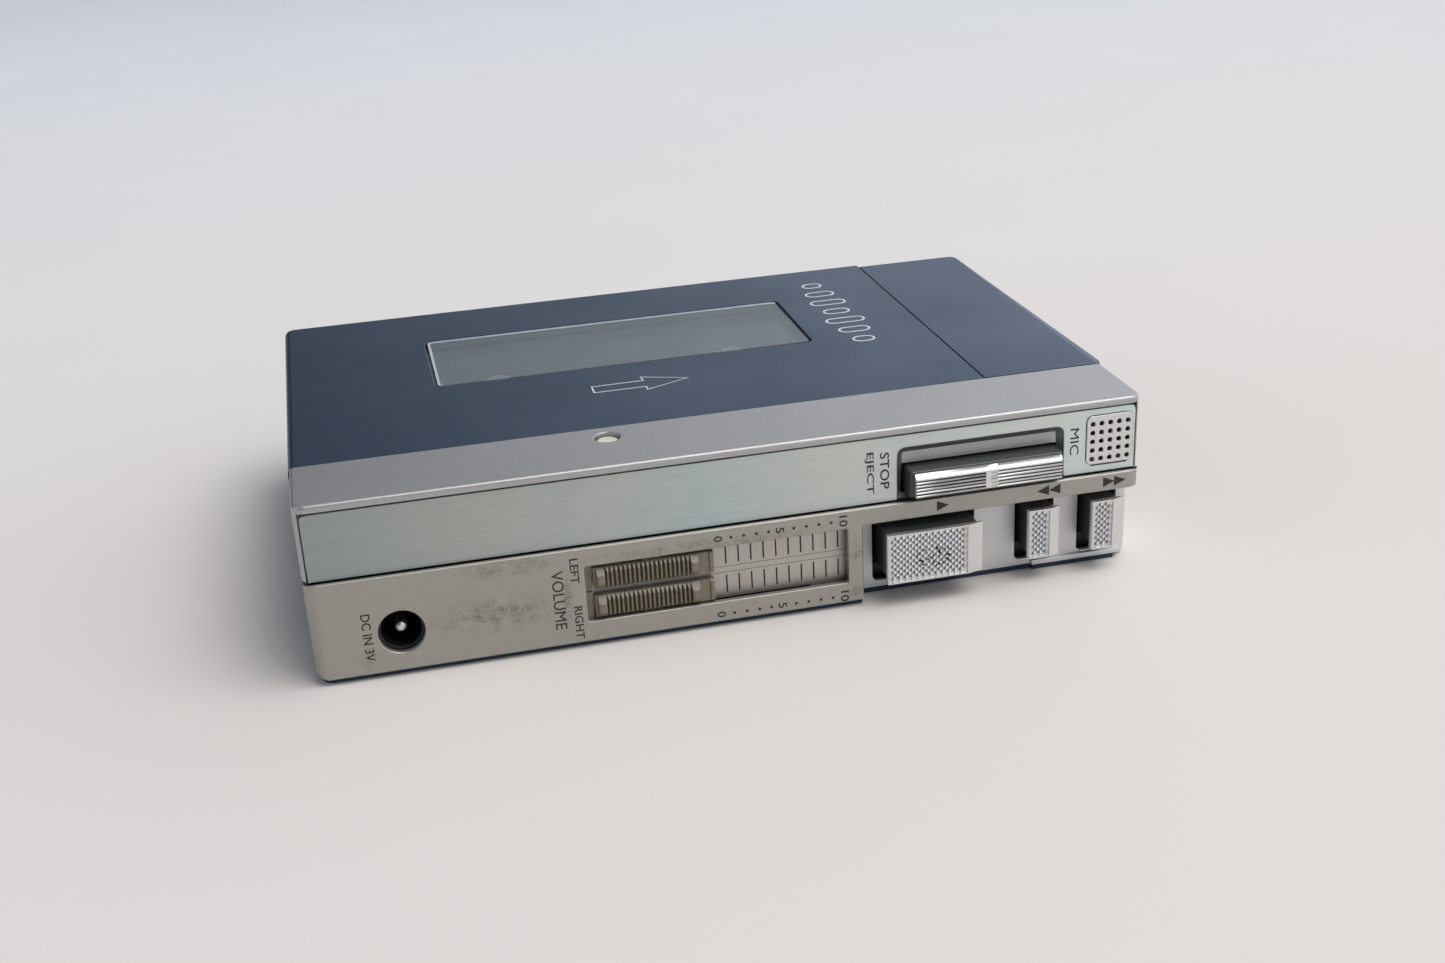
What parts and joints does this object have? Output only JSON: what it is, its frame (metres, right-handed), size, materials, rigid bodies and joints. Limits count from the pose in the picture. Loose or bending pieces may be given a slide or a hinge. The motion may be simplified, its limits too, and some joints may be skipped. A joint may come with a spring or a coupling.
{
  "type": "portable stereo cassette player",
  "caption": "Flat pocket tape player with a hinged cassette lid, keys and volume sliders along one long edge, and the tape mechanism inside.",
  "frame": {"origin": "middle of the bounding box in plan, on the underside", "axes": "+X along the control edge, +Y from the control edge to the lid's hinge, +Z out of the lid; the player lies on its back"},
  "size_m": [0.1348, 0.0904, 0.0295],
  "materials": {
    "navy_paint": "satin metallic enamel",
    "silver_paint": "satin metallic paint",
    "blasted_aluminium": "bead blasted and clear anodised",
    "brushed_aluminium": "fine cross-brushed and clear anodised",
    "bright_aluminium": "diamond cut, bright anodised",
    "steel": "zinc plated sheet and turned steel",
    "brass": "turned",
    "black_plastic": "moulded",
    "grey_plastic": "moulded",
    "olive_plastic": "metallised moulding",
    "orange_plastic": "moulded",
    "white_plastic": "moulded acetal",
    "smoked_acrylic": "polished, lightly smoked",
    "circuit_board": "solder-masked laminate",
    "rubber": "moulded",
    "cell_wrap": "printed steel jacket, plain"
  },
  "bodies": {
    "case": {"lower_case": "navy_paint", "upper_case": "navy_paint", "silver_frame": "silver_paint", "control_panel": "blasted_aluminium", "key_plate": "blasted_aluminium", "trim_strip": "brushed_aluminium", "mic_grille": "bright_aluminium", "volume_scale": "blasted_aluminium", "battery_lamp": "white_plastic", "supply_jack": "black_plastic", "mic_capsule": "black_plastic", "key_guide": "steel", "volume_control_left": "steel", "volume_control_right": "steel", "phone_jack_a": "black_plastic", "phone_jack_b": "black_plastic", "amplifier_board": "circuit_board", "hinge_pin_left": "steel", "hinge_pin_right": "steel", "deck_plate": "steel", "motor": "steel", "drive_belt": "rubber", "battery_cell_a": "cell_wrap", "battery_cell_b": "cell_wrap", "battery_spring": "steel", "battery_contact": "steel", "battery_cradle": "black_plastic", "case_screw_1": "steel", "case_screw_2": "steel", "case_screw_3": "steel", "deck_screw_1": "steel", "deck_screw_2": "steel", "deck_screw_3": "steel"},
    "lid": {"lid_cover": "navy_paint", "lid_window": "smoked_acrylic", "cassette_holder": "steel", "lid_catch": "steel"},
    "play_key": {"play_key": "grey_plastic", "play_key_cap": "bright_aluminium"},
    "rewind_key": {"rewind_key": "grey_plastic", "rewind_key_cap": "bright_aluminium"},
    "fast_forward_key": {"fast_forward_key": "grey_plastic", "fast_forward_key_cap": "bright_aluminium"},
    "stop_button": {"stop_button": "grey_plastic", "stop_button_cap": "bright_aluminium"},
    "talk_button": {"talk_button": "orange_plastic"},
    "volume_left": {"volume_knob_left": "olive_plastic"},
    "volume_right": {"volume_knob_right": "olive_plastic"},
    "tone_switch": {"tone_switch": "black_plastic"},
    "battery_door": {"battery_door": "navy_paint"},
    "supply_reel": {"supply_reel": "white_plastic"},
    "take_up_reel": {"take_up_reel": "white_plastic"},
    "flywheel": {"flywheel": "brass"},
    "idler_wheel": {"idler_wheel": "rubber"},
    "motor_pulley": {"motor_pulley": "brass"},
    "head_carriage": {"head_carriage": "steel", "playback_head": "bright_aluminium"},
    "pinch_roller": {"pinch_roller": "rubber"}
  },
  "joints": [
    {"name": "lid_hinge", "type": "hinge", "parent": "case", "child": "lid", "pos_m": [-0.0114, 0.0441, 0.0259], "axis": [-1, 0, 0], "range_deg": [0, 65]},
    {"name": "head_slide", "type": "slide", "parent": "case", "child": "head_carriage", "axis": [0, 1, 0], "range_m": [0, 0.0035], "stiffness_N_per_m": 120},
    {"name": "play_slide", "type": "slide", "parent": "case", "child": "play_key", "axis": [0, 1, 0], "range_m": [0, 0.0035]},
    {"name": "rewind_slide", "type": "slide", "parent": "case", "child": "rewind_key", "axis": [0, 1, 0], "range_m": [0, 0.0035], "stiffness_N_per_m": 80},
    {"name": "fast_forward_slide", "type": "slide", "parent": "case", "child": "fast_forward_key", "axis": [0, 1, 0], "range_m": [0, 0.0035], "stiffness_N_per_m": 80},
    {"name": "stop_slide", "type": "slide", "parent": "case", "child": "stop_button", "axis": [0, 1, 0], "range_m": [0, 0.0025], "stiffness_N_per_m": 100},
    {"name": "talk_slide", "type": "slide", "parent": "case", "child": "talk_button", "axis": [-1, 0, 0], "range_m": [0, 0.0016], "stiffness_N_per_m": 80},
    {"name": "volume_left_slide", "type": "slide", "parent": "case", "child": "volume_left", "axis": [1, 0, 0], "range_m": [0, 0.0204]},
    {"name": "volume_right_slide", "type": "slide", "parent": "case", "child": "volume_right", "axis": [1, 0, 0], "range_m": [0, 0.0204]},
    {"name": "tone_slide", "type": "slide", "parent": "case", "child": "tone_switch", "axis": [0, 1, 0], "range_m": [0, 0.004]},
    {"name": "battery_door_slide", "type": "slide", "parent": "case", "child": "battery_door", "axis": [-1, 0, 0], "range_m": [0, 0.008]},
    {"name": "flywheel_spin", "type": "hinge", "parent": "case", "child": "flywheel", "pos_m": [0.0113, -0.0133, 0.007], "axis": [0, 0, 1], "continuous": true},
    {"name": "motor_spin", "type": "hinge", "parent": "case", "child": "motor_pulley", "pos_m": [-0.0234, -0.0098, 0.003], "axis": [0, 0, 1], "continuous": true},
    {"name": "idler_spin", "type": "hinge", "parent": "case", "child": "idler_wheel", "pos_m": [0.0116, 0.0031, 0.007], "axis": [0, 0, 1], "continuous": true},
    {"name": "take_up_spin", "type": "hinge", "parent": "case", "child": "take_up_reel", "pos_m": [0.01185, 0.0145, 0.007], "axis": [0, 0, 1], "continuous": true},
    {"name": "supply_spin", "type": "hinge", "parent": "case", "child": "supply_reel", "pos_m": [-0.03065, 0.0145, 0.007], "axis": [0, 0, 1], "continuous": true},
    {"name": "pinch_spin", "type": "hinge", "parent": "head_carriage", "child": "pinch_roller", "pos_m": [0.0113, -0.0222, 0.021], "axis": [0, 0, 1], "continuous": true}
  ],
  "couplings": [
    {"joint": "play_slide", "follows": "head_slide", "ratio": 1},
    {"joint": "motor_spin", "follows": "flywheel_spin", "ratio": 5},
    {"joint": "idler_spin", "follows": "flywheel_spin", "ratio": -7},
    {"joint": "take_up_spin", "follows": "flywheel_spin", "ratio": 1.5556}
  ]
}
